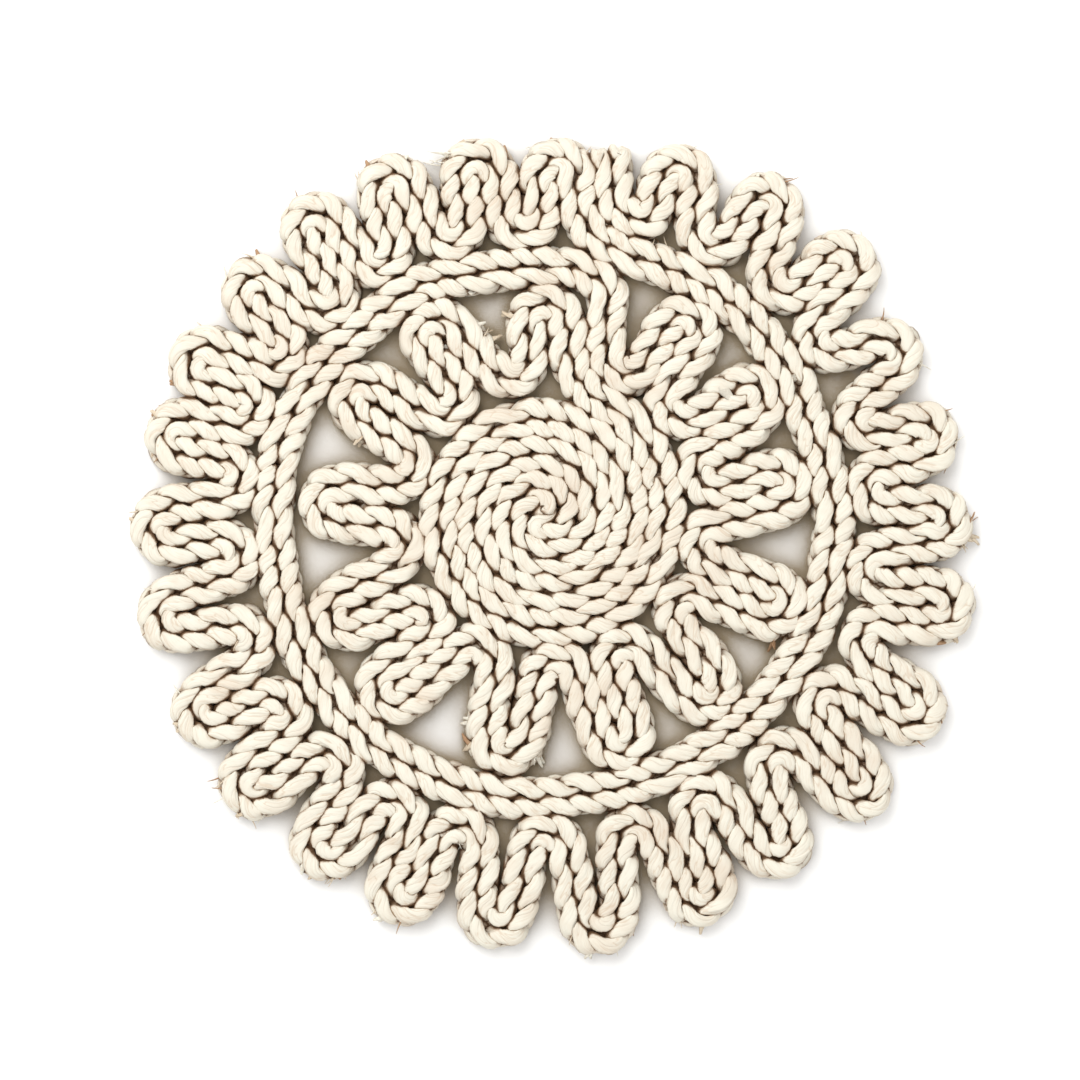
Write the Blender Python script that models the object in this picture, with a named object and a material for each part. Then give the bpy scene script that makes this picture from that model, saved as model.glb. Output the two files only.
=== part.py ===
"""Round open-work placemat: one double plait, coiled, folded into two rounds of loops and sewn to itself.

The two plaits lie side by side as one run. The run starts in the middle as a coil, turns into the inner round of
loops, then the plain ring, then the outer round of loops, and ends beside the first outer loop. Lengths in the
tables are millimetres, angles are degrees anticlockwise from +X, and every radius is measured from the mat's middle.
"""

import math
from collections import Counter

import bmesh
import bpy
import numpy as np
from mathutils import Vector
from mathutils.geometry import delaunay_2d_cdt

MM = 0.001

# The section of the run: two rounded humps side by side, one for each plait.
HALF_WIDTH = 7.8
SECTION = {
    # distance from the run's middle line: height of the top there
    0.0: 7.0,
    3.9: 11.0,
    7.8: 5.5,
}

BEND = 8.6  # radius of the middle line round the end of a loop
SOFTEN = 2.7  # how far the middle line is smoothed along its length
CHORD_ERROR = 0.3  # how far a drawn line may leave the true curve
SMALLEST_GAP = 6.0  # square millimetres; a smaller gap is sewn shut
MERGE = 0.1  # points closer than this are one point
POINTS_PER_TURN = 90  # points on each turn of the coil, before the run is evened
BLOCK = 500  # points measured at a time, to spare memory
CREASE = math.radians(50.0)  # edges sharper than this are shaded sharp
FLAT = math.radians(0.1)  # faces this close to one plane are one face

COIL_CENTRE = (-4.3, 13.7)
COIL_START_RADIUS = 4.1
COIL_END_RADIUS = 57.0
COIL_PITCH = 15.55
COIL_END_ANGLE = 52.0

# A row for each loop: the middle of the bend towards the mat's middle, then that of the bend at the loop's tip.
# in angle, in radius, tip angle, tip radius
INNER_LOOPS = (
    (70.2, 93.7, 91.9, 100.8),
    (103.3, 85.5, 118.8, 108.2),
    (127.5, 83.3, 142.0, 106.6),
    (152.9, 78.7, 168.9, 99.5),
    (180.2, 74.6, 197.9, 97.4),
    (209.8, 70.4, 221.4, 95.8),
    (235.3, 62.2, 256.1, 88.9),
    (272.0, 58.0, 288.7, 89.2),
    (302.6, 60.7, 316.8, 92.5),
    (334.9, 68.5, 345.4, 100.9),
    (0.2, 72.8, 14.7, 103.7),
    (25.6, 78.7, 36.3, 109.3),
    (48.2, 86.2, 58.5, 111.8),
    (68.7, 89.8, 83.3, 113.7),
)
INNER_LEAD_BEND = 24.3  # the wider bend where the run leaves the coil
RING_LEAD_BEND = 10.8  # the bend where it turns into the ring

# angle, radius of the plain ring's middle line, from where it starts to where it leaves
RING = (
    (92.8, 125.7),
    (101.0, 126.1),
    (109.2, 128.2),
    (117.3, 131.2),
    (134.4, 131.0),
    (150.7, 132.1),
    (166.8, 129.4),
    (180.9, 125.1),
    (196.2, 123.7),
    (211.1, 121.8),
    (225.8, 121.1),
    (232.9, 118.4),
    (246.9, 116.8),
    (260.2, 115.1),
    (272.6, 113.0),
    (285.4, 112.9),
    (297.1, 113.2),
    (306.8, 114.6),
    (319.8, 117.1),
    (331.0, 119.4),
    (343.7, 122.8),
    (354.3, 124.4),
    (3.6, 126.7),
    (12.7, 127.8),
    (23.7, 127.3),
    (38.0, 131.3),
    (48.8, 133.9),
    (59.1, 135.8),
    (68.5, 134.9),
    (74.8, 134.8),
)

OUTER_LOOPS = (
    (79.8, 159.2, 89.3, 166.1),
    (95.3, 149.2, 101.4, 169.5),
    (108.1, 152.0, 114.3, 173.8),
    (121.1, 155.0, 126.7, 176.8),
    (132.7, 152.5, 139.4, 174.2),
    (145.2, 154.5, 152.4, 175.7),
    (156.3, 154.3, 163.6, 173.2),
    (168.5, 150.6, 177.2, 173.1),
    (182.0, 147.7, 190.3, 172.5),
    (197.2, 148.4, 205.5, 171.1),
    (211.2, 146.7, 218.4, 170.1),
    (224.7, 143.1, 232.8, 167.3),
    (239.0, 142.3, 246.4, 167.5),
    (252.4, 139.7, 261.1, 165.4),
    (268.8, 136.4, 276.9, 167.8),
    (285.4, 138.2, 292.8, 167.0),
    (300.3, 137.1, 306.7, 165.6),
    (316.3, 143.2, 321.6, 172.3),
    (330.4, 143.8, 335.4, 174.8),
    (343.6, 151.1, 351.0, 173.7),
    (356.1, 147.5, 3.4, 170.5),
    (10.1, 150.0, 16.1, 171.5),
    (22.1, 154.0, 29.7, 171.5),
    (37.4, 156.3, 43.9, 179.2),
    (49.4, 159.5, 57.5, 177.6),
    (63.2, 159.4, 71.0, 172.4),
)
OUTER_LEAD_BEND = 17.1  # the wider bend where the run leaves the ring
LAST_BEND = (76.9, 157.6)  # angle, radius of the last bend's middle
LAST_BEND_RADIUS = 9.5
RUN_END = (81.8, 179.2)  # angle, radius where the run stops


def at(angle, radius):
    """The point at an angle in degrees and a radius from the mat's middle."""
    return radius * np.array([math.cos(math.radians(angle)), math.sin(math.radians(angle))])


def turned_left(direction):
    return np.array([-direction[1], direction[0]])


def straight_between(first, second):
    """Where the straight run leaves the first bend and where it meets the second. A bend is (middle, radius, side),
    with side +1 for a bend to the left and -1 for one to the right."""
    middle_a, radius_a, side_a = first
    middle_b, radius_b, side_b = second
    across = middle_b - middle_a
    length = np.hypot(*across)
    lean = -math.asin(np.clip((side_b * radius_b - side_a * radius_a) / length, -1.0, 1.0))
    heading = across / length * math.cos(lean) + turned_left(across / length) * math.sin(lean)
    left = turned_left(heading)
    return middle_a - side_a * radius_a * left, middle_b - side_b * radius_b * left


def round_bends(start, bends, end):
    """Points of a run that goes from start, round each bend in turn, to end."""
    stops = [(start, 0.0, 1)] + bends + [(end, 0.0, 1)]
    straights = [straight_between(a, b) for a, b in zip(stops, stops[1:])]
    points = [start]
    for (middle, radius, side), (_, meets), (leaves, _) in zip(bends, straights, straights[1:]):
        from_angle = math.atan2(*(meets - middle)[::-1])
        to_angle = math.atan2(*(leaves - middle)[::-1])
        sweep = (to_angle - from_angle) * side % math.tau
        for turn in np.linspace(0.0, side * sweep, max(2, int(sweep * radius))):
            points.append(middle + radius * np.array([math.cos(from_angle + turn), math.sin(from_angle + turn)]))
    return points + [end]


def loop_bends(loops, lead_bend):
    """The bends of a round of loops: right-hand ones towards the middle, left-hand ones at the tips."""
    bends = []
    for in_angle, in_radius, tip_angle, tip_radius in loops:
        bends.append((at(in_angle, in_radius), BEND, -1))
        bends.append((at(tip_angle, tip_radius), BEND, 1))
    bends[0] = (bends[0][0], lead_bend, -1)
    return bends


def coil_points():
    turns = (COIL_END_RADIUS - COIL_START_RADIUS) / COIL_PITCH
    points = []
    for angle in np.linspace(COIL_END_ANGLE - 360.0 * turns, COIL_END_ANGLE, int(turns * POINTS_PER_TURN)):
        radius = COIL_END_RADIUS - COIL_PITCH * (COIL_END_ANGLE - angle) / 360.0
        points.append(np.array(COIL_CENTRE) + at(angle, radius))
    return points


def evened(points, step=1.0):
    """The same run with its points one step apart."""
    points = np.array(points)
    points = points[np.r_[True, np.hypot(*np.diff(points, axis=0).T) > 1e-6]]
    along = np.r_[0.0, np.cumsum(np.hypot(*np.diff(points, axis=0).T))]
    wanted = np.linspace(0.0, along[-1], int(along[-1] / step) + 1)
    return np.c_[np.interp(wanted, along, points[:, 0]), np.interp(wanted, along, points[:, 1])]


def softened(points):
    """The run with its corners eased, as a plait would take them."""
    reach = int(3 * SOFTEN) + 1
    weights = np.exp(-0.5 * (np.arange(-reach, reach + 1) / SOFTEN) ** 2)
    weights /= weights.sum()
    before = 2 * points[0] - points[reach:0:-1]
    after = 2 * points[-1] - points[-2:-reach - 2:-1]
    padded = np.r_[before, points, after]
    return np.c_[np.convolve(padded[:, 0], weights, "valid"), np.convolve(padded[:, 1], weights, "valid")]


def middle_line():
    """The run's middle line from the coil's centre to its end, with the mat's middle at the origin."""
    ring = [at(*row) for row in RING]
    inner = loop_bends(INNER_LOOPS, INNER_LEAD_BEND)
    inner[-1] = (inner[-1][0], RING_LEAD_BEND, 1)
    outer = loop_bends(OUTER_LOOPS, OUTER_LEAD_BEND)
    outer.append((at(*LAST_BEND), LAST_BEND_RADIUS, -1))
    points = coil_points()
    points += round_bends(points[-1], inner, ring[0])
    points += ring
    points += round_bends(ring[-1], outer, at(*RUN_END))
    return softened(evened(points))


def thinned(points):
    """Only the points needed to keep within the chord error."""
    keep = {0, len(points) - 1}
    spans = [(0, len(points) - 1)]
    while spans:
        first, last = spans.pop()
        chord = points[last] - points[first]
        offsets = points[first:last + 1] - points[first]
        share = np.clip(offsets @ chord / max(chord @ chord, 1e-9), 0.0, 1.0)
        away = np.hypot(*(offsets - share[:, None] * chord).T)
        furthest = first + int(away.argmax())
        if away.max() > CHORD_ERROR:
            keep.add(furthest)
            spans += [(first, furthest), (furthest, last)]
    return points[sorted(keep)]


def nearest_on(middle, points):
    """How far each point is from the run's middle line, and the number of the nearest point on that line."""
    distances, numbers = np.empty(len(points)), np.empty(len(points), int)
    for begin in range(0, len(points), BLOCK):
        block = slice(begin, begin + BLOCK)
        squares = ((points[block, None, :] - middle[None, :, :]) ** 2).sum(2)
        numbers[block] = squares.argmin(1)
        distances[block] = np.sqrt(squares.min(1))
    return distances, numbers


def to_the_left(middle):
    """The direction to the left of the run at each of its points."""
    headings = np.gradient(middle, axis=0)
    headings /= np.hypot(*headings.T)[:, None]
    return np.c_[-headings[:, 1], headings[:, 0]]


def lines_along(middle):
    """A line along the run at each distance that the section names, on both sides."""
    offsets = sorted({side * away for away in SECTION for side in (-1, 1)})
    return [thinned(middle + offset * to_the_left(middle)) for offset in offsets]


def boundary_of(triangles):
    """The edges that only one triangle has, keyed by their first corner in the triangle's own order."""
    owned = set()
    for tri in triangles:
        owned.update(zip(tri, tri[1:] + tri[:1]))
    return [(a, b) for a, b in owned if (b, a) not in owned]


def mat_plan(middle):
    """The mat seen from above, as points and the triangles that are plait and not gap."""
    points, edges, firsts, lasts = [], [], [], []
    for line in lines_along(middle):
        firsts.append(len(points))
        points += [Vector(p) for p in line]
        lasts.append(len(points) - 1)
        edges += [(i, i + 1) for i in range(firsts[-1], lasts[-1])]
    edges += list(zip(firsts, firsts[1:])) + list(zip(lasts, lasts[1:]))
    drawn = delaunay_2d_cdt(points, edges, [], 0, MERGE)
    points = np.array([tuple(p) for p in drawn[0]])
    triangles = [tuple(t) for t in drawn[2]]
    centres = np.array([points[list(t)].mean(0) for t in triangles])
    distances, numbers = nearest_on(middle, centres)
    is_plait = (distances <= HALF_WIDTH + CHORD_ERROR) & (numbers < len(middle) - 1)
    kept = {t for t, keep in zip(triangles, is_plait) if keep}
    areas = {t: area(points[list(t)]) for t in triangles if t not in kept}
    for gap in gaps_between(areas):
        if sum(areas[t] for t in gap) < SMALLEST_GAP:
            kept.update(gap)
    close_pinches(kept, areas)
    return points, sorted(kept)


def area(corners):
    (ax, ay), (bx, by) = corners[1] - corners[0], corners[2] - corners[0]
    return abs(ax * by - ay * bx) / 2.0


def gaps_between(triangles):
    """Triangles in groups that share edges, one group for each gap."""
    owners = {}
    for tri in triangles:
        for edge in zip(tri, tri[1:] + tri[:1]):
            owners.setdefault(frozenset(edge), []).append(tri)
    left = set(triangles)
    while left:
        group, waiting = set(), [left.pop()]
        while waiting:
            tri = waiting.pop()
            group.add(tri)
            for edge in zip(tri, tri[1:] + tri[:1]):
                fresh = [t for t in owners[frozenset(edge)] if t in left]
                left.difference_update(fresh)
                waiting += fresh
        yield group


def close_pinches(kept, areas):
    """Where the plait would touch itself at a point alone, sew up the smallest triangle beside that point."""
    while True:
        starts = Counter(a for a, _ in boundary_of(kept))
        pinched = [point for point, count in starts.items() if count > 1]
        if not pinched:
            return
        for point in pinched:
            beside = [t for t in areas if point in t and t not in kept]
            kept.add(min(beside, key=areas.get))


def mat_mesh(middle):
    """The solid: the plan raised into ridges, with upright sides down to a flat underside."""
    points, triangles = mat_plan(middle)
    shell = bmesh.new()
    corners = [shell.verts.new((x * MM, y * MM, 0.0)) for x, y in points]
    for tri in triangles:
        shell.faces.new([corners[i] for i in tri])
    bmesh.ops.delete(shell, geom=[v for v in shell.verts if not v.link_faces], context="VERTS")
    raised = bmesh.ops.extrude_face_region(shell, geom=shell.faces[:])
    top = [v for v in raised["geom"] if isinstance(v, bmesh.types.BMVert)]
    away, _ = nearest_on(middle, np.array([v.co.xy for v in top]) / MM)
    for vert, height in zip(top, np.interp(away, list(SECTION), list(SECTION.values()))):
        vert.co.z = height * MM
    underside = [e for e in shell.edges if not any(v.co.z for v in e.verts)]
    bmesh.ops.dissolve_limit(shell, angle_limit=FLAT, edges=underside, verts=[v for v in shell.verts if not v.co.z])
    bmesh.ops.triangulate(shell, faces=[f for f in shell.faces if len(f.verts) > 4])
    bmesh.ops.recalc_face_normals(shell, faces=shell.faces[:])
    mesh = bpy.data.meshes.new("plait_mat")
    shell.to_mesh(mesh)
    shell.free()
    mesh.shade_smooth()
    mesh.set_sharp_from_angle(angle=CREASE)
    return mesh


def plait_material():
    material = bpy.data.materials.new("bleached_plait")
    material.use_nodes = True
    shader = material.node_tree.nodes["Principled BSDF"]
    shader.inputs["Base Color"].default_value = (0.80, 0.72, 0.60, 1.0)
    shader.inputs["Roughness"].default_value = 0.75
    shader.inputs["Metallic"].default_value = 0.0
    return material


def main():
    for old in list(bpy.data.objects):
        bpy.data.objects.remove(old)
    placemat = bpy.data.collections.new("placemat")
    bpy.context.scene.collection.children.link(placemat)
    middle = middle_line()
    half = HALF_WIDTH * to_the_left(middle)
    outline = np.r_[middle + half, middle - half]
    middle -= (outline.max(0) + outline.min(0)) / 2.0
    mesh = mat_mesh(middle)
    mesh.materials.append(plait_material())
    placemat.objects.link(bpy.data.objects.new("plait_mat", mesh))


main()
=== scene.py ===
import math

import bpy
import numpy as np
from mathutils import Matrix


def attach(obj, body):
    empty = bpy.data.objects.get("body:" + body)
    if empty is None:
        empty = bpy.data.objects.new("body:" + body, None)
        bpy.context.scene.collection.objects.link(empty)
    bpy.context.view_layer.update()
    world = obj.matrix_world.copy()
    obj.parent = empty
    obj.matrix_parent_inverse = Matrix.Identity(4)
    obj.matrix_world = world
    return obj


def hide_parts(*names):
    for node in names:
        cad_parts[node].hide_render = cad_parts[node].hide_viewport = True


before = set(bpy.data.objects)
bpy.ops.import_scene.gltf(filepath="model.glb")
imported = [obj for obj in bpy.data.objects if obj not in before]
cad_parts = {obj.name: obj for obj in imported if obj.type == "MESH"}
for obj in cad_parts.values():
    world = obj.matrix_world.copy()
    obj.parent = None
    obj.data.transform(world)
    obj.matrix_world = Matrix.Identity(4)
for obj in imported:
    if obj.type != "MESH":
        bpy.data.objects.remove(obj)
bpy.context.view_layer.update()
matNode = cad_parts["plait_mat"]
print("frame loaded")


# small helpers for node trees, used for shapes and for materials alike

class Wire:
    # a node's output that can be used in sums; every sum adds Math nodes to the tree

    def __init__(self, tree, socket):
        self.tree = tree
        self.socket = socket

    def maths(self, operation, *others):
        inputs = {i: value for i, value in enumerate((self,) + others)}
        return self.tree.add("ShaderNodeMath", {"operation": operation}, inputs).out(0)

    def after(self, operation, first):
        return self.tree.add("ShaderNodeMath", {"operation": operation}, {0: first, 1: self}).out(0)

    def __add__(self, other):
        return self.maths("ADD", other)

    def __radd__(self, other):
        return self.after("ADD", other)

    def __sub__(self, other):
        return self.maths("SUBTRACT", other)

    def __rsub__(self, other):
        return self.after("SUBTRACT", other)

    def __mul__(self, other):
        return self.maths("MULTIPLY", other)

    def __rmul__(self, other):
        return self.after("MULTIPLY", other)

    def __truediv__(self, other):
        return self.maths("DIVIDE", other)

    def __rtruediv__(self, other):
        return self.after("DIVIDE", other)

    def __pow__(self, other):
        return self.maths("POWER", other)

    def __abs__(self):
        return self.maths("ABSOLUTE")


class Tree:
    # wraps a node tree: add() makes any node from its type, its settings and its inputs

    def __init__(self, nodeTree):
        self.nodeTree = nodeTree

    def add(self, kind, settings=None, inputs=None):
        node = self.nodeTree.nodes.new(kind)
        for name, value in (settings or {}).items():
            if name == "stops":  # a ramp's two greys, as (place, level)
                for element, (place, level) in zip(node.color_ramp.elements, value):
                    element.position = place
                    element.color = (level, level, level, 1.0)
            elif name == "kept":  # the names that a capture node stores, with their types
                for label, dataType in value.items():
                    node.capture_items.new(dataType, label)
            else:
                setattr(node, name, value)
        for key, value in (inputs or {}).items():
            if isinstance(value, Wire):
                self.nodeTree.links.new(value.socket, node.inputs[key])
            else:
                node.inputs[key].default_value = value
        return Made(self, node)


class Made:
    # a node that has been added

    def __init__(self, tree, node):
        self.tree = tree
        self.node = node

    def out(self, key=0):
        return Wire(self.tree, self.node.outputs[key])


def ramp(tree, value, *stops):
    return tree.add("ShaderNodeValToRGB", {"stops": stops}, {0: value}).out(0)


def mixColours(tree, share, first, second):
    return tree.add("ShaderNodeMix", {"data_type": "RGBA"}, {0: share, 6: first, 7: second}).out(2)


def vectorMaths(tree, operation, first, second):
    # the second is a number for SCALE, and a vector otherwise
    key = "Scale" if operation == "SCALE" else 1
    return tree.add("ShaderNodeVectorMath", {"operation": operation}, {0: first, key: second})


def joined(tree, x=0.0, y=0.0, z=0.0):
    return tree.add("ShaderNodeCombineXYZ", None, {"X": x, "Y": y, "Z": z}).out(0)


def noise(tree, settings, **inputs):
    return tree.add("ShaderNodeTexNoise", settings, inputs).out("Fac")


def attribute(tree, name, output="Fac"):
    return tree.add("ShaderNodeAttribute", {"attribute_name": name}).out(output)


def openness(tree, reach, samples):
    # 1 on open ground, less where something stands within reach
    return tree.add("ShaderNodeAmbientOcclusion", {"samples": samples}, {"Distance": reach}).out("AO")


def newMaterial(name):
    material = bpy.data.materials.new(name)
    material.use_nodes = True
    material.node_tree.nodes.clear()
    return material, Tree(material.node_tree)


def newShapeTree(name, sizes):
    # a Geometry Nodes tree with a named input for each size
    group = bpy.data.node_groups.new(name, "GeometryNodeTree")
    group.interface.new_socket("Geometry", in_out="OUTPUT", socket_type="NodeSocketGeometry")
    group.interface.new_socket("Geometry", in_out="INPUT", socket_type="NodeSocketGeometry")
    for label, value in sizes.items():
        kind = "NodeSocketInt" if isinstance(value, int) else "NodeSocketFloat"
        group.interface.new_socket(label, in_out="INPUT", socket_type=kind)
    group.interface.new_socket("Material", in_out="INPUT", socket_type="NodeSocketMaterial")
    tree = Tree(group)
    return tree, tree.add("NodeGroupInput")


def moved(tree, geometry, offset):
    return tree.add("GeometryNodeSetPosition", None, {"Geometry": geometry, "Offset": offset}).out(0)


def placed(tree, geometry, spot):
    return tree.add("GeometryNodeSetPosition", None, {"Geometry": geometry, "Position": spot}).out(0)


def stored(tree, geometry, name, value, kind="FLOAT"):
    return tree.add("GeometryNodeStoreNamedAttribute", {"data_type": kind, "domain": "POINT"},
                    {"Geometry": geometry, "Name": name, "Value": value}).out(0)


def named(tree, name):
    reader = tree.add("GeometryNodeInputNamedAttribute", {"data_type": "FLOAT"}, {"Name": name})
    return reader.out("Attribute")


def position(tree):
    return tree.add("GeometryNodeInputPosition").out(0)


def finished(tree, given, geometry):
    # every shape tree ends this way
    geometry = tree.add("GeometryNodeRealizeInstances", None, {"Geometry": geometry}).out(0)
    geometry = tree.add("GeometryNodeSetMaterial", None, {
        "Geometry": geometry, "Material": given.out("Material")}).out(0)
    tree.add("NodeGroupOutput", None, {0: geometry})
    return tree.nodeTree


def shapeFrom(name, guide, group, sizes, material):
    # runs a shape tree on a guide mesh and returns the plain mesh that it makes
    guideObject = bpy.data.objects.new(name + "Guide", guide)
    bpy.context.scene.collection.objects.link(guideObject)
    modifier = guideObject.modifiers.new("shape", "NODES")
    modifier.node_group = group
    values = dict(sizes, Material=material)
    for item in group.interface.items_tree:
        if item.item_type == "SOCKET" and item.in_out == "INPUT" and item.name in values:
            modifier[item.identifier] = values[item.name]
    depsgraph = bpy.context.evaluated_depsgraph_get()
    mesh = bpy.data.meshes.new_from_object(guideObject.evaluated_get(depsgraph), depsgraph=depsgraph)
    bpy.data.objects.remove(guideObject)
    mesh.name = name
    piece = bpy.data.objects.new(name, mesh)
    bpy.context.scene.collection.objects.link(piece)
    print(name, "made with", sum(len(p.vertices) - 2 for p in mesh.polygons), "triangles")
    return piece


# the middle of the run, read from the groove between the two ridges of the solid

run = {
    "grooveHeight": 0.007,  # height of the solid along that groove
    "step": 0.0015,  # spacing of the points on the run
    "width": 0.0156,  # two plaits side by side
    "bendLength": 0.025,  # nearer than this along the run, points are in the same bend
    "rounds": 15,  # how often touching stretches are eased apart
    "easing": 0.004,  # length over which that easing is spread
}


def grooveLine():
    mesh = matNode.data
    numbers, spots, same = {}, [], []
    for vert in mesh.vertices:
        key = tuple(round(c, 6) for c in vert.co)
        if key not in numbers:
            numbers[key] = len(spots)
            spots.append(key)
        same.append(numbers[key])
    inGroove = [abs(spot[2] - run["grooveHeight"]) < 1e-5 for spot in spots]
    beside = {}
    for edge in mesh.edges:
        a, b = (same[v] for v in edge.vertices)
        if a != b and inGroove[a] and inGroove[b]:
            beside.setdefault(a, set()).add(b)
            beside.setdefault(b, set()).add(a)
    ends = [i for i, near in beside.items() if len(near) == 1]
    here = min(ends, key=lambda i: spots[i][0] ** 2 + spots[i][1] ** 2)  # the coil's end of the run
    line, seen = [], set()
    while here is not None:
        line.append(spots[here][:2])
        seen.add(here)
        here = next((i for i in beside[here] if i not in seen), None)
    return np.array(line)


def roundedLine(line, step):
    # a smooth curve through the points, read every step
    along = np.r_[0, np.cumsum(np.hypot(*np.diff(line, axis=0).T))]
    slopes = np.gradient(line, along, axis=0)
    wanted = np.linspace(0, along[-1], int(along[-1] / step) + 1)
    i = np.clip(np.searchsorted(along, wanted, side="right") - 1, 0, len(along) - 2)
    span = (along[i + 1] - along[i])[:, None]
    t = (wanted - along[i])[:, None] / span
    return ((2 * t**3 - 3 * t**2 + 1) * line[i] + (t**3 - 2 * t**2 + t) * span * slopes[i]
            + (3 * t**2 - 2 * t**3) * line[i + 1] + (t**3 - t**2) * span * slopes[i + 1])


def spread(values, reach):
    # a soft average along the run, over reach points to each side
    weights = np.exp(-0.5 * (np.arange(-3 * reach, 3 * reach + 1) / reach) ** 2)
    weights /= weights.sum()
    padded = np.pad(values, ((3 * reach, 3 * reach), (0, 0)), mode="edge")
    return np.stack([np.convolve(column, weights, "valid") for column in padded.T], axis=1)


def easedApart(line):
    # stretches that lie closer than one run's width are moved until they only touch
    order = np.arange(len(line))
    sameBend = np.abs(order[:, None] - order[None, :]) < run["bendLength"] / run["step"]
    for _ in range(run["rounds"]):
        across = line[:, None, :] - line[None, :, :]
        away = np.sqrt((across ** 2).sum(2))
        away[sameBend] = 1.0
        nearest = away.argmin(1)
        short = np.clip(run["width"] - away[order, nearest], 0, None)
        push = across[order, nearest] / away[order, nearest][:, None] * (0.5 * short)[:, None]
        line = line + spread(push, round(run["easing"] / run["step"]))
    return line


runLine = easedApart(roundedLine(grooveLine(), run["step"]))
runLength = run["step"] * (len(runLine) - 1)
print("run of plait read,", round(runLength, 3), "m long")


fold = {
    "bulge": 0.0054,  # how far the turn swings out behind the start of the run
    "skipped": 4,  # points of the inner plait that the turn takes the place of
    "turnBegins": -0.4,  # the turn's own arc, in half turns
    "turnEnds": 0.35,
    "turnPoints": 7,
    "softened": 14,  # points to each side over which the turn is eased in
}


def plaitPath():
    # one long plait, folded double at the coil's centre, with how far along the run each point lies
    ahead = np.gradient(runLine, axis=0)
    ahead /= np.hypot(*ahead.T)[:, None]
    left = np.stack([-ahead[:, 1], ahead[:, 0]], axis=1)
    station = run["step"] * np.arange(len(runLine))
    inner = (runLine + plait["Lane offset"] * left)[fold["skipped"]:]
    outer = (runLine - plait["Lane offset"] * left)[::-1]
    turns = np.linspace(fold["turnBegins"] * math.pi, fold["turnEnds"] * math.pi, fold["turnPoints"])
    turn = np.array([
        runLine[0] + plait["Lane offset"] * math.sin(t) * left[0] - fold["bulge"] * math.cos(t) * ahead[0]
        for t in turns])
    path = np.concatenate([outer, turn, inner])
    stations = np.concatenate([station[::-1], np.zeros(len(turn)), station[fold["skipped"]:]])
    middle = len(outer) + len(turn) // 2
    near = np.clip(1.5 - np.abs(np.arange(len(path)) - middle) / fold["softened"], 0, 1)[:, None]
    return path * (1 - near) + spread(path, 2) * near, stations


def plaitGuide():
    path, stations = plaitPath()
    guide = bpy.data.meshes.new("plaitGuide")
    guide.from_pydata([(x, y, 0.0) for x, y in path], [(i, i + 1) for i in range(len(path) - 1)], [])
    guide.attributes.new("station", "FLOAT", "POINT").data.foreach_set("value", stations.astype(np.float32))
    return guide


# the husk's material

husk = {
    "ivory": (0.825, 0.80, 0.69, 1.0),
    "cream": (0.75, 0.71, 0.60, 1.0),
    "blush": (0.60, 0.475, 0.36, 1.0),
    # painted shade: edge is a fine grey-olive line drawn where a neighbour stands very near
    "edge": (0.30, 0.25, 0.165, 1.0),
    # tan is the colour of the fibres, folds and streaks, and also painted shade in the crevices
    "tanGrainAndShade": (0.48, 0.31, 0.18, 1.0),
    # painted shade: the dark brown of the deepest crevices
    "paintedCreviceShade": (0.13, 0.068, 0.030, 1.0),
    "roughness": 0.62,
    "patchScale": 42.0,  # patches of a slightly other tone, a bump or two long
    "patchShare": 0.4,
    "shadeReach": 0.0032,  # how near a neighbour must stand for the painted crevice shade
    "lineShadeReach": 0.0009,  # how near a neighbour must stand for the painted shade line
    "shadeBetweenRows": 1.2,  # how much stronger the painted shade is in the crevices between two rows
    "relief": 0.5,  # strength and height of the creases that the bump draws
    "reliefHeight": 0.0006,
}


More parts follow.
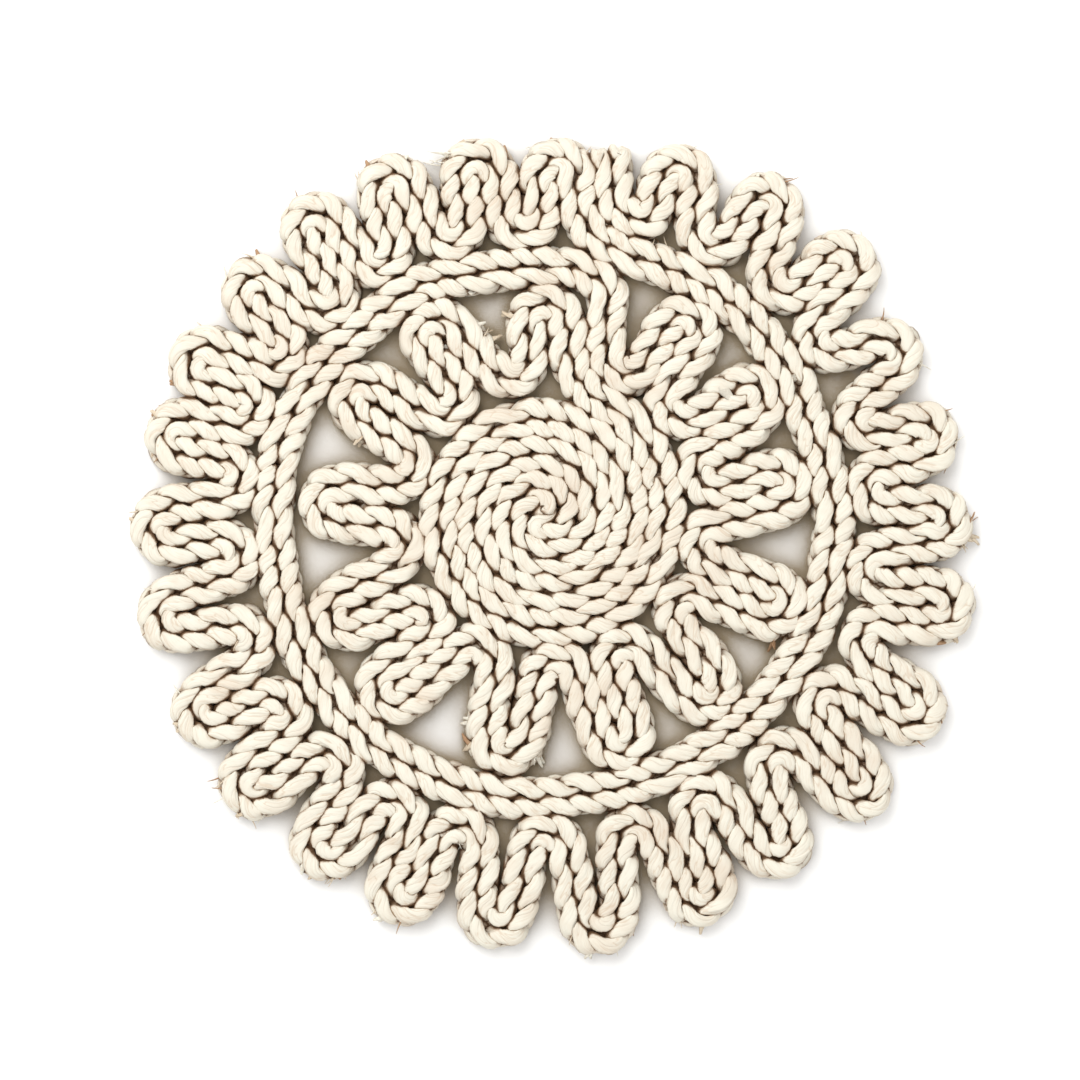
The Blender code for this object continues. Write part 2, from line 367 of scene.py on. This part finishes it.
def huskMaterial():
    material, tree = newMaterial("bleachedHusk")
    strand = attribute(tree, "huskPlace", "Vector")
    place = tree.add("ShaderNodeTexCoord").out("Object")
    patches = noise(tree, None, Vector=place, Scale=husk["patchScale"], Detail=1.0)
    tone = attribute(tree, "tone") + (patches - 0.5) * husk["patchShare"]
    # fine fibres run along the strand, broader blotches ignore them
    stretched = vectorMaths(tree, "MULTIPLY", strand, (0.16, 1.6, 1.6)).out(0)
    fibres = noise(tree, None, Vector=stretched, Scale=1.0, Detail=4.0, Roughness=0.65)
    blotches = noise(tree, None, Vector=strand, Scale=0.16, Detail=2.0)
    folded = vectorMaths(tree, "MULTIPLY", strand, (0.06, 0.24, 0.24)).out(0)
    creases = abs(noise(tree, None, Vector=folded, Scale=1.0, Detail=2.0, Roughness=0.45) - 0.5)
    body = mixColours(tree, ramp(tree, tone, (0.1, 0.0), (0.6, 1.0)), husk["ivory"], husk["cream"])
    body = mixColours(tree, ramp(tree, tone, (0.76, 0.0), (1.0, 1.0)), body, husk["blush"])
    body = mixColours(tree, ramp(tree, blotches, (0.45, 0.0), (0.75, 0.3)), body, husk["blush"])
    body = mixColours(tree, ramp(tree, fibres, (0.32, 0.25), (0.5, 0.0)), body, husk["tanGrainAndShade"])
    body = mixColours(tree, ramp(tree, creases, (0.0, 0.4), (0.02, 0.0)), body, husk["tanGrainAndShade"])
    # painted shade: a fine grey-olive line where another strand stands very near
    closeness = openness(tree, husk["lineShadeReach"], 6)
    body = mixColours(tree, ramp(tree, closeness, (0.45, 0.9), (0.8, 0.0)), body, husk["edge"])
    # painted shade: where neighbours stand near, the colour goes to tan and then dark brown; crevices between
    # two rows are deeper and get more of it than those between the bumps of one row
    offRow = abs(attribute(tree, "offRow"))
    # weight of the painted shade, larger towards the next row
    depth = 0.85 + ramp(tree, offRow, (0.5, 0.0), (0.9, 1.0)) * husk["shadeBetweenRows"]
    shut = (1.0 - openness(tree, husk["shadeReach"], 8)) * depth
    shaded = mixColours(tree, ramp(tree, shut, (0.22, 0.0), (0.46, 0.95)), body, husk["tanGrainAndShade"])
    shaded = mixColours(tree, ramp(tree, shut, (0.38, 0.0), (0.62, 1.0)), shaded, husk["paintedCreviceShade"])
    height = ramp(tree, creases, (0.0, 0.0), (0.08, 1.0)) * 0.7 + fibres * 0.2
    relief = tree.add("ShaderNodeBump", None, {
        "Strength": husk["relief"], "Distance": husk["reliefHeight"], "Height": height}).out(0)
    shader = tree.add("ShaderNodeBsdfPrincipled", None, {
        "Base Color": shaded, "Roughness": husk["roughness"], "Normal": relief})
    tree.add("ShaderNodeOutputMaterial", None, {"Surface": shader.out(0)})
    return material


# the three-strand plait, standing on edge

plait = {
    "Lane offset": 0.0039,  # from the middle of the run to the middle of either leg of the plait
    "Bump length": 0.0120,  # from one crossing strand to the next
    "Wander": 2.8,  # how unevenly the bumps are spaced
    "Sway": 0.00245,  # how far a strand swings to each side
    "Swing": 1.35,  # times the sway that it heads for on top
    "Swing chance": 0.18,  # how much that varies from bump to bump
    "Quickness": 0.1,  # the lower, the quicker the hidden crossing inside
    "Lean": 1.2,  # how steeply it leans outwards beside the top
    "Rise": 0.0038,  # how far it climbs above and drops below the plait's middle
    "Middle height": 0.0055,
    "Pressed half": 0.0040,  # past this distance above or below the middle, the plait has been pressed
    "Give": 0.4,  # how much of the height past that is left
    "Strand width": 0.0065,
    "Strand depth": 0.0040,
    "Side roundness": 0.8,  # 1 is round, less is boxier
    "Top roundness": 0.45,
    "Narrowest": 0.88,  # the strand's scale where it is hidden inside
    "Swell chance": 0.14,  # how much its scale on top varies from bump to bump
    "Section step": 0.00115,
    "Overlap": 0.004,  # how far a piece runs on, thinner, inside the next one
    "Tucked": 0.12,  # how much thinner it is at the end of that
    "Sides": 12,
    "Crease depth": 0.0012,  # of the folds along the leaf
    "Unevenness": 0.0012,  # how far a single bump stands off the rule
    "Drift": 0.0016,  # how far the whole plait strays from its row
}


def crossings(tree, size, copies):
    # where each strand is in its turn, the tangent's left, and what the later steps read back
    left = vectorMaths(tree, "CROSS_PRODUCT", (0, 0, 1), tree.add("GeometryNodeInputTangent").out(0)).out(0)
    number = copies.out("Duplicate Index")
    along = tree.add("GeometryNodeSplineParameter").out("Length")
    wander = noise(tree, {"noise_dimensions": "1D"}, W=along * 25.0, Scale=1.0)
    evenTurn = along / (size["Bump length"] * 3.0) * math.tau + number * (math.tau / 3)
    turn = evenTurn + (wander - 0.5) * size["Wander"]
    kept = tree.add("GeometryNodeCaptureAttribute",
                    {"kept": {"turn": "FLOAT", "length": "FLOAT", "row": "VECTOR", "leftOfRow": "VECTOR"}},
                    {"Geometry": copies.out("Geometry"), "turn": turn, "length": along,
                     "row": position(tree), "leftOfRow": left})
    return kept, left, number


def strandSection(tree, size):
    # the strand's section: wide, rounded and slightly flat on top, with its own place kept for the material
    circle = tree.add("GeometryNodeCurvePrimitiveCircle", None, {
        "Resolution": size["Sides"], "Radius": 1.0}).out(0)
    corner = tree.add("ShaderNodeSeparateXYZ", None, {0: position(tree)})
    across, through = corner.out("X"), corner.out("Y")
    wide = across.maths("SIGN") * abs(across) ** size["Side roundness"] * size["Strand width"] * 0.5
    deep = through.maths("SIGN") * abs(through) ** size["Top roundness"] * size["Strand depth"] * 0.5
    profile = placed(tree, circle, joined(tree, x=wide, y=deep))
    return tree.add("GeometryNodeCaptureAttribute", {"kept": {"place": "VECTOR"}},
                    {"Geometry": profile, "place": position(tree)})


def pressedFlat(tree, size, tube):
    # the whole mat is pressed, so whatever stands past the pressed height gives way
    spot = tree.add("ShaderNodeSeparateXYZ", None, {0: position(tree)})
    height = spot.out("Z") - size["Middle height"]
    within = abs(height).maths("MINIMUM", size["Pressed half"])
    past = (abs(height) - within) * size["Give"]
    pressed = height.maths("SIGN") * (within + past) + size["Middle height"]
    return placed(tree, tube, joined(tree, spot.out("X"), spot.out("Y"), pressed))


def plaitTree():
    sizes = dict(plait, **{"From": 0.0, "To": 1.0})
    tree, given = newShapeTree("huskPlait", sizes)
    size = {name: given.out(name) for name in sizes}
    # three copies of the path, one for each strand
    curve = tree.add("GeometryNodeMeshToCurve", None, {0: given.out("Geometry")}).out(0)
    curve = tree.add("GeometryNodeResampleCurve", {"mode": "LENGTH"}, {
        "Curve": curve, "Length": size["Section step"]}).out(0)
    copies = tree.add("GeometryNodeDuplicateElements", {"domain": "SPLINE"}, {"Geometry": curve, "Amount": 3})
    kept, left, number = crossings(tree, size, copies)
    turn, length, curve = kept.out("turn"), kept.out("length"), kept.out("Geometry")
    # only the stretch that this piece covers
    station = named(tree, "station")
    beyond = (size["From"] - station).maths("MAXIMUM", station - size["To"]) / size["Overlap"]
    curve = tree.add("GeometryNodeDeleteGeometry", {"domain": "POINT"}, {
        "Geometry": curve, "Selection": beyond.maths("GREATER_THAN", 1.0)}).out(0)
    # the strand's own way over and under; the crossing on top is slow, the one hidden inside is quick
    bump = (turn / math.pi).maths("FLOOR")
    chance = {
        name: tree.add("FunctionNodeRandomValue", {"data_type": "FLOAT"},
                       {"Min": -1.0, "Max": 1.0, "ID": bump * 6.0 + number, "Seed": seed}).out(0)
        for name, seed in (("swell", 3), ("lift", 11), ("tone", 23), ("sway", 31))
    }
    rise, toSide = turn.maths("SINE"), turn.maths("COSINE")
    crest = rise + (turn * 3.0).maths("SINE") * 0.05
    reach = size["Swing"] + chance["sway"] * size["Swing chance"]
    swing = toSide * rise / (rise * rise + size["Quickness"]) ** 0.5 * reach
    drift = noise(tree, {"noise_dimensions": "1D"}, W=length * 45.0 + 7.0, Scale=1.0)
    stray = abs(rise) * chance["lift"] * size["Unevenness"]
    sideways = swing * size["Sway"] + (drift - 0.5) * size["Drift"] + stray
    upwards = size["Middle height"] + crest * size["Rise"] + stray * rise
    slide = vectorMaths(tree, "SCALE", left, sideways).out(0)
    curve = moved(tree, curve, vectorMaths(tree, "ADD", slide, joined(tree, z=upwards)).out(0))
    lean = (toSide * size["Lean"] * -1.0).maths("ARCTANGENT")
    curve = tree.add("GeometryNodeSetCurveNormal", {"mode": "Z_UP"}, {"Curve": curve}).out(0)
    curve = tree.add("GeometryNodeSetCurveTilt", None, {"Curve": curve, "Tilt": lean}).out(0)
    # the strand itself, thinner where it is hidden and where it runs on inside the next piece
    onTop = rise * rise
    swell = 1.0 - (1.0 - onTop) * (1.0 - size["Narrowest"]) + onTop * chance["swell"] * size["Swell chance"]
    tucked = 1.0 - beyond.maths("MAXIMUM", 0.0) * size["Tucked"]
    section = strandSection(tree, size)
    tube = tree.add("GeometryNodeCurveToMesh", None, {
        "Curve": curve, "Profile Curve": section.out("Geometry"), "Scale": swell * tucked,
        "Fill Caps": True}).out(0)
    # marks for the material, in millimetres, then the creases of the folded leaf
    around = tree.add("ShaderNodeSeparateXYZ", None, {0: section.out("place")})
    strip = length * 1000.0 + bump * 37.0 + number * 91.0
    huskPlace = joined(tree, strip, around.out("X") * 1000.0, around.out("Y") * 1000.0)
    tube = stored(tree, tube, "huskPlace", huskPlace, "FLOAT_VECTOR")
    tube = stored(tree, tube, "tone", chance["tone"] * 0.5 + 0.5)
    foldPlace = vectorMaths(tree, "MULTIPLY", huskPlace, (0.10, 0.55, 0.55)).out(0)
    folds = noise(tree, None, Vector=foldPlace, Scale=1.0, Detail=1.0)
    normal = tree.add("GeometryNodeInputNormal").out(0)
    dent = (folds - 0.5) * 3.0 * size["Crease depth"]
    tube = moved(tree, tube, vectorMaths(tree, "SCALE", normal, dent).out(0))
    tube = pressedFlat(tree, size, tube)
    # how far off the row's middle each point lies, 1 at the next row
    apart = vectorMaths(tree, "SUBTRACT", position(tree), kept.out("row")).out(0)
    offRow = vectorMaths(tree, "DOT_PRODUCT", apart, kept.out("leftOfRow")).out("Value")
    tube = stored(tree, tube, "offRow", offRow / size["Lane offset"])
    corners = tree.add("GeometryNodeInputMeshFaceNeighbors").out("Vertex Count")
    tube = tree.add("GeometryNodeSetShadeSmooth", None, {
        "Geometry": tube, "Selection": corners.maths("LESS_THAN", 5.0)}).out(0)
    return finished(tree, given, tube)


stretches = {  # where along the run each piece begins and ends, in metres
    "coilPlait": (-1.0, 0.62),
    "innerLoopPlait": (0.62, 1.90),
    "ringPlait": (1.90, 2.75),
    "leftLoopPlait": (2.75, 4.10),
    "rightLoopPlait": (4.10, 9.0),
}


def makePlaits(material):
    group = plaitTree()
    pieces = []
    for name, (begins, stops) in stretches.items():
        sizes = dict(plait, **{"From": begins, "To": stops})
        pieces.append(shapeFrom(name, plaitGuide(), group, sizes, material))
    return pieces


# cut leaf ends that stick out of the plait, and a few hair-thin fibres

looseEnds = {
    "stripWidth": 0.0030,
    "stripDepth": 0.0007,
    "fibreWidth": 0.0008,
    "rootReach": 0.0074,  # roots lie at most this far from the middle of the run
    "rootDepth": 0.0025,  # how far an end reaches back into the plait
    "lowest": 0.0008,  # height that no end dips below
    "droop": 0.9,
    "taper": 0.65,  # share of the width that is gone at the tip
    "frays": 120,  # short fibres all round the outside
    "stubs": 60,  # short leaf ends there
    "points": 7,  # along each end
    "tones": {"pale": 0.1, "straw": 0.5, "brown": 1.0},
    "straw": (0.66, 0.55, 0.40, 1.0),
    "brown": (0.36, 0.20, 0.10, 1.0),
    "roughness": 0.7,
}

# where each tuft starts and which way it points, in millimetres and degrees:
# x, y, heading, length, how many, colour
leafTufts = [
    (-5.6, -93.0, 265, 6.5, 2, "pale"), (-43.5, -91.0, 130, 5.5, 2, "brown"),
    (-40.0, -94.0, 100, 4.0, 2, "brown"), (-38.5, -78.0, 215, 4.5, 3, "pale"),
    (-36.5, -88.5, 220, 4.0, 2, "straw"), (-34.5, 109.5, 40, 5.0, 1, "pale"),
    (-31.5, 101.5, 30, 4.0, 1, "pale"), (-27.0, 94.5, 15, 6.0, 3, "straw"),
    (-19.5, 103.5, 190, 3.5, 2, "straw"), (99.0, -40.5, 262, 5.5, 2, "brown"),
    (190.0, 3.5, 330, 6.0, 3, "straw"), (-176.0, 58.5, 160, 4.0, 2, "straw"),
    (-171.0, 71.0, 200, 3.5, 2, "brown"), (-132.5, 137.5, 95, 4.5, 1, "brown"),
    (34.5, 160.5, 250, 4.0, 2, "brown"), (113.5, 151.0, 60, 4.0, 2, "straw"),
    (173.0, -45.0, 330, 3.5, 2, "brown"), (182.0, -42.0, 300, 3.5, 2, "straw"),
    (16.5, -184.0, 255, 3.5, 2, "pale"), (67.0, -170.5, 260, 4.0, 2, "straw"),
    (-78.0, -169.5, 235, 3.5, 2, "pale"), (-112.5, -146.0, 240, 3.5, 2, "pale"),
    (-140.5, -121.5, 225, 3.5, 2, "straw"), (-171.0, -23.5, 190, 4.0, 2, "brown"),
    (-178.5, -12.5, 200, 3.5, 2, "straw"), (-49.5, 88.0, 230, 3.5, 2, "pale"),
    (85.0, 98.0, 240, 4.0, 1, "pale"), (-88.0, 44.0, 260, 3.5, 2, "straw"),
    (60.0, -92.0, 280, 3.5, 2, "pale"), (112.0, 30.0, 20, 3.0, 1, "pale"),
]
hairTufts = [
    (-47.0, 177.0, 165, 11.0, 3, "pale"), (-49.0, 172.0, 175, 9.0, 2, "pale"),
    (186.5, 9.5, 60, 6.0, 3, "brown"), (-170.0, 61.0, 150, 6.0, 3, "brown"),
    (-178.0, 54.0, 230, 5.0, 3, "brown"), (-177.0, 40.5, 220, 4.0, 2, "brown"),
    (-112.5, -138.0, 250, 4.0, 3, "straw"), (191.0, -2.0, 300, 5.0, 3, "straw"),
    (-165.0, 78.5, 150, 5.0, 2, "straw"), (-3.0, -95.0, 250, 4.0, 3, "pale"),
    (100.5, -42.0, 250, 4.0, 2, "brown"), (-26.0, 98.0, 60, 4.0, 3, "straw"),
    (-97.0, -160.0, 240, 5.0, 3, "straw"), (51.0, -176.0, 280, 4.0, 3, "straw"),
    (163.0, -75.0, 330, 4.5, 3, "straw"), (155.0, 85.0, 20, 4.0, 3, "straw"),
    (60.0, 168.5, 70, 4.5, 3, "straw"), (-88.0, 165.0, 110, 4.5, 3, "straw"),
]


def onTheMat(x, y):
    # the given spot, drawn in to where the plait can hold a root
    away = np.array([x, y]) - runLine
    nearest = np.hypot(*away.T).argmin()
    distance = math.hypot(*away[nearest])
    return runLine[nearest] + away[nearest] * min(1.0, looseEnds["rootReach"] / distance)


def outerEnds(seed, amount, shortest, longest):
    # rows for short ends all along the outside of the loops
    chance = np.random.default_rng(seed)
    ahead = np.gradient(runLine, axis=0)
    ahead /= np.hypot(*ahead.T)[:, None]
    aside = np.stack([-ahead[:, 1], ahead[:, 0]], axis=1)
    outwards = runLine / np.hypot(*runLine.T)[:, None]
    aside *= np.sign((aside * outwards).sum(1))[:, None]
    facing = (aside * outwards).sum(1) > 0.45
    loose = [i for i in range(len(runLine)) if facing[i] and run["step"] * i > stretches["leftLoopPlait"][0]]
    ends = []
    for i in chance.choice(loose, amount, replace=False):
        x, y = (runLine[i] + looseEnds["rootReach"] * aside[i]) * 1e3
        heading = math.degrees(math.atan2(aside[i][1], aside[i][0])) + chance.uniform(-65, 65)
        length = chance.uniform(shortest, longest)
        ends.append((x, y, heading, length, 1, chance.choice(["pale", "pale", "straw", "brown"])))
    return ends


def tuftGuide(tufts, height, seed):
    # short bent paths that start inside the plait and droop outwards
    chance = np.random.default_rng(seed)
    corners, edges, tones, tapers = [], [], [], []
    steps = looseEnds["points"] - 1
    for x, y, heading, length, many, colour in tufts:
        for _ in range(many):
            angle = math.radians(heading + chance.uniform(-24, 24))
            bend = chance.uniform(-0.7, 0.7)
            reach = length * chance.uniform(0.8, 1.3) * 1e-3
            spot = onTheMat(x * 1e-3, y * 1e-3) + chance.uniform(-0.0008, 0.0008, 2)
            spot = spot - looseEnds["rootDepth"] * np.array([math.cos(angle), math.sin(angle)])
            z, climb = chance.uniform(*height), chance.uniform(-0.25, 0.3)
            pace = (reach + looseEnds["rootDepth"]) / steps
            for i in range(steps + 1):
                share = i / steps
                if i:
                    edges.append((len(corners) - 1, len(corners)))
                corners.append((*spot, max(z, looseEnds["lowest"])))
                tones.append(looseEnds["tones"][colour] + chance.uniform(-0.05, 0.05))
                tapers.append(1.0 - looseEnds["taper"] * share ** 2)
                turned = angle + bend * share
                spot = spot + pace * np.array([math.cos(turned), math.sin(turned)])
                z += pace * (climb - looseEnds["droop"] * share)
    guide = bpy.data.meshes.new("tuftGuide")
    guide.from_pydata(corners, edges, [])
    for name, values in (("tone", tones), ("taper", tapers)):
        guide.attributes.new(name, "FLOAT", "POINT").data.foreach_set("value", np.array(values, np.float32))
    return guide


def tuftTree():
    tree, given = newShapeTree("looseHusk", {"Width": 0.002, "Depth": 0.0006, "Sides": 6})
    curve = tree.add("GeometryNodeMeshToCurve", None, {0: given.out("Geometry")}).out(0)
    curve = tree.add("GeometryNodeSetCurveNormal", {"mode": "Z_UP"}, {"Curve": curve}).out(0)
    twist = (named(tree, "tone") * 37.0).maths("SINE") * 0.6  # each end is turned its own way
    curve = tree.add("GeometryNodeSetCurveTilt", None, {"Curve": curve, "Tilt": twist}).out(0)
    circle = tree.add("GeometryNodeCurvePrimitiveCircle", None, {
        "Resolution": given.out("Sides"), "Radius": 0.5}).out(0)
    corner = tree.add("ShaderNodeSeparateXYZ", None, {0: position(tree)})
    flat = joined(tree, corner.out("X") * given.out("Width"), corner.out("Y") * given.out("Depth"))
    tube = tree.add("GeometryNodeCurveToMesh", None, {
        "Curve": curve, "Profile Curve": placed(tree, circle, flat), "Scale": named(tree, "taper"),
        "Fill Caps": True}).out(0)
    tube = tree.add("GeometryNodeSetShadeSmooth", None, {"Geometry": tube}).out(0)
    return finished(tree, given, tube)


def looseMaterial():
    # pale leaf to dry brown, with fine streaks
    material, tree = newMaterial("driedEnds")
    tone = attribute(tree, "tone")
    place = tree.add("ShaderNodeTexCoord").out("Object")
    streaks = noise(tree, None, Vector=place, Scale=900.0, Detail=3.0)
    body = mixColours(tree, ramp(tree, tone, (0.1, 0.0), (0.55, 1.0)), husk["ivory"], looseEnds["straw"])
    body = mixColours(tree, ramp(tree, tone, (0.6, 0.0), (1.0, 1.0)), body, looseEnds["brown"])
    body = mixColours(tree, ramp(tree, streaks, (0.35, 0.35), (0.6, 0.0)), body, husk["tanGrainAndShade"])
    relief = tree.add("ShaderNodeBump", None, {"Strength": 0.4, "Distance": 0.0002, "Height": streaks}).out(0)
    shader = tree.add("ShaderNodeBsdfPrincipled", None, {
        "Base Color": body, "Roughness": looseEnds["roughness"], "Normal": relief})
    tree.add("ShaderNodeOutputMaterial", None, {"Surface": shader.out(0)})
    return material


def makeLooseEnds():
    group, material = tuftTree(), looseMaterial()
    strips = {"Width": looseEnds["stripWidth"], "Depth": looseEnds["stripDepth"], "Sides": 6}
    hairs = {"Width": looseEnds["fibreWidth"], "Depth": looseEnds["fibreWidth"], "Sides": 4}
    stubs = outerEnds(6, looseEnds["stubs"], 1.5, 3.2)
    frays = outerEnds(4, looseEnds["frays"], 2.5, 6.0)
    return [
        shapeFrom("leafEnds", tuftGuide(leafTufts + stubs, (0.004, 0.0085), 5), group, strips, material),
        shapeFrom("fibreEnds", tuftGuide(hairTufts + frays, (0.003, 0.009), 9), group, hairs, material),
    ]


# the floor, the light and the camera

studio = {
    "floorColour": (0.95, 0.945, 0.93, 1.0),
    # painted shade: the brown that the floor takes in the mat's gaps
    "floorGapShade": (0.30, 0.235, 0.15, 1.0),
    "floorShadeReach": 0.026,
    "shadeEnds": (0.155, 0.188),  # from the mat's middle, where that painted brown shade thins out towards the open table
    "floorSize": 6.0,
    "skyStrength": 0.97,
    "lampSize": 1.4,
    "lampHeight": 1.4,
    "lampPower": 19.0,
    "lampPlace": (-0.6, 0.9),
    "cameraHeight": 1.6,
    "frameWidth": 0.4869,  # what the photograph's frame spans on the table
    "frameMiddle": (-0.0054, 0.0027),  # of that frame, from the middle of the mat
}


def floorMaterial():
    # pale paint, not plain: painted shade, tinted brown in the mat's gaps where Ambient Occlusion finds them
    # closed in, to come near their tone in the photograph
    material, tree = newMaterial("paleTable")
    place = tree.add("ShaderNodeTexCoord").out("Object")
    outwards = tree.add("ShaderNodeVectorMath", {"operation": "LENGTH"}, {0: place}).out("Value")
    near, far = studio["shadeEnds"]
    closedIn = ramp(tree, openness(tree, studio["floorShadeReach"], 6), (0.52, 1.0), (0.74, 0.0))
    share = closedIn * ramp(tree, (outwards - near) / (far - near), (0.0, 1.0), (1.0, 0.0))
    colour = mixColours(tree, share, studio["floorColour"], studio["floorGapShade"])
    shader = tree.add("ShaderNodeBsdfPrincipled", None, {"Base Color": colour, "Roughness": 0.9})
    tree.add("ShaderNodeOutputMaterial", None, {"Surface": shader.out(0)})
    return material


def makeFloor():
    half = studio["floorSize"] / 2
    mesh = bpy.data.meshes.new("tableTop")
    corners = [(-half, -half, 0), (half, -half, 0), (half, half, 0), (-half, half, 0)]
    mesh.from_pydata(corners, [], [(0, 1, 2, 3)])
    mesh.materials.append(floorMaterial())
    floor = bpy.data.objects.new("tableTop", mesh)
    bpy.context.scene.collection.objects.link(floor)


def makeLight():
    world = bpy.data.worlds.new("studio")
    world.use_nodes = True
    world.node_tree.nodes["Background"].inputs["Color"].default_value = (1.0, 1.0, 1.0, 1.0)
    world.node_tree.nodes["Background"].inputs["Strength"].default_value = studio["skyStrength"]
    bpy.context.scene.world = world
    bpy.context.scene.view_settings.view_transform = "Standard"
    light = bpy.data.lights.new("softLamp", "AREA")
    light.shape = "DISK"
    light.size = studio["lampSize"]
    light.energy = studio["lampPower"]
    lamp = bpy.data.objects.new("softLamp", light)
    lamp.location = (*studio["lampPlace"], studio["lampHeight"])
    aim = -lamp.location
    lamp.rotation_euler = aim.to_track_quat("-Z", "Y").to_euler()
    bpy.context.scene.collection.objects.link(lamp)


def makeCamera():
    lens = bpy.data.cameras.new("overheadCamera")
    lens.sensor_width = 36.0
    lens.lens = lens.sensor_width * studio["cameraHeight"] / studio["frameWidth"]
    camera = bpy.data.objects.new("overheadCamera", lens)
    camera.location = (*studio["frameMiddle"], studio["cameraHeight"])
    bpy.context.scene.collection.objects.link(camera)
    bpy.context.scene.camera = camera


pieces = makePlaits(huskMaterial()) + makeLooseEnds()
for piece in pieces:
    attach(piece, "root")
    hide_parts("plait_mat")
makeFloor()
makeLight()
makeCamera()
print("studio ready")
